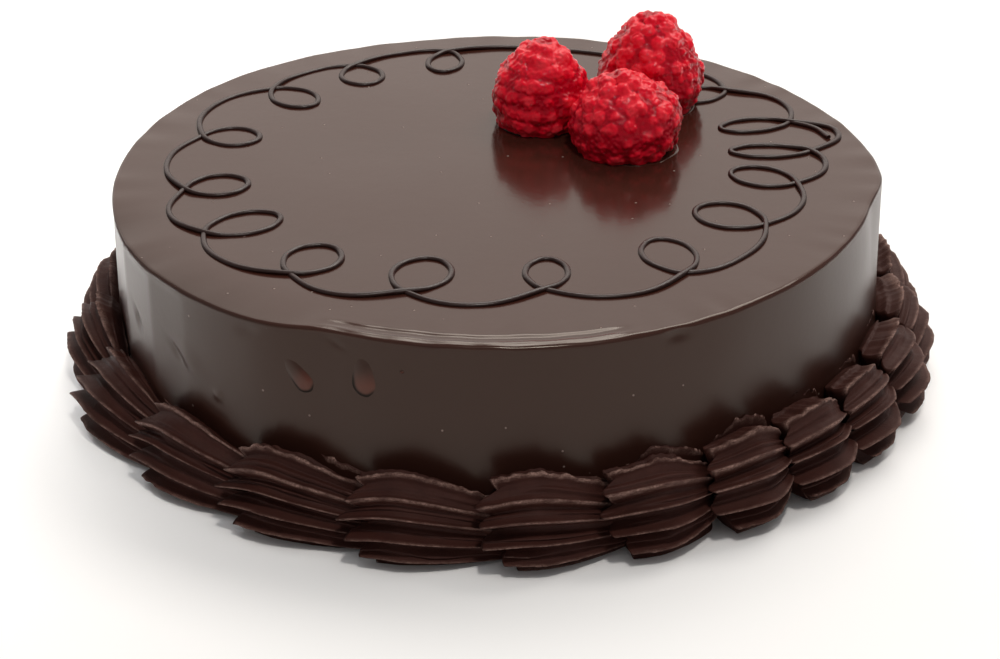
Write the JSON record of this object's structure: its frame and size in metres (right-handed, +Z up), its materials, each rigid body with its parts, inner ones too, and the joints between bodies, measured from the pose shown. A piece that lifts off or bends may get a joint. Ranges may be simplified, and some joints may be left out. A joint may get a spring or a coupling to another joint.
{
  "type": "glazed chocolate cake",
  "caption": "Round chocolate-glazed cake with a rounded shoulder, a piped line of loops round its top, a fluted piped shell border round its foot and a cluster of red berries.",
  "frame": {"origin": "middle of the cake's flat base, on the surface that it stands on", "axes": "+Z up, -Y towards the front that the picture shows, +X to the viewer's right"},
  "size_m": [0.1802, 0.1806, 0.0619],
  "materials": {
    "glaze": "smooth dark chocolate glaze with a soft mirror shine",
    "piped_cream": "satin piped chocolate cream with sharp flutes",
    "berry_skin": "wet red berries under a clear glaze"
  },
  "bodies": {
    "root": {"cake_body": "glaze", "shell_01": "piped_cream", "shell_02": "piped_cream", "shell_03": "piped_cream", "shell_04": "piped_cream", "shell_05": "piped_cream", "shell_06": "piped_cream", "shell_07": "piped_cream", "shell_08": "piped_cream", "shell_09": "piped_cream", "shell_10": "piped_cream", "shell_11": "piped_cream", "shell_12": "piped_cream", "shell_13": "piped_cream", "shell_14": "piped_cream", "shell_15": "piped_cream", "shell_16": "piped_cream", "shell_17": "piped_cream", "shell_18": "piped_cream", "shell_19": "piped_cream", "shell_20": "piped_cream", "shell_21": "piped_cream", "shell_22": "piped_cream", "shell_23": "piped_cream", "shell_24": "piped_cream", "berry_left": "berry_skin", "berry_front": "berry_skin", "berry_back": "berry_skin"}
  },
  "joints": []
}
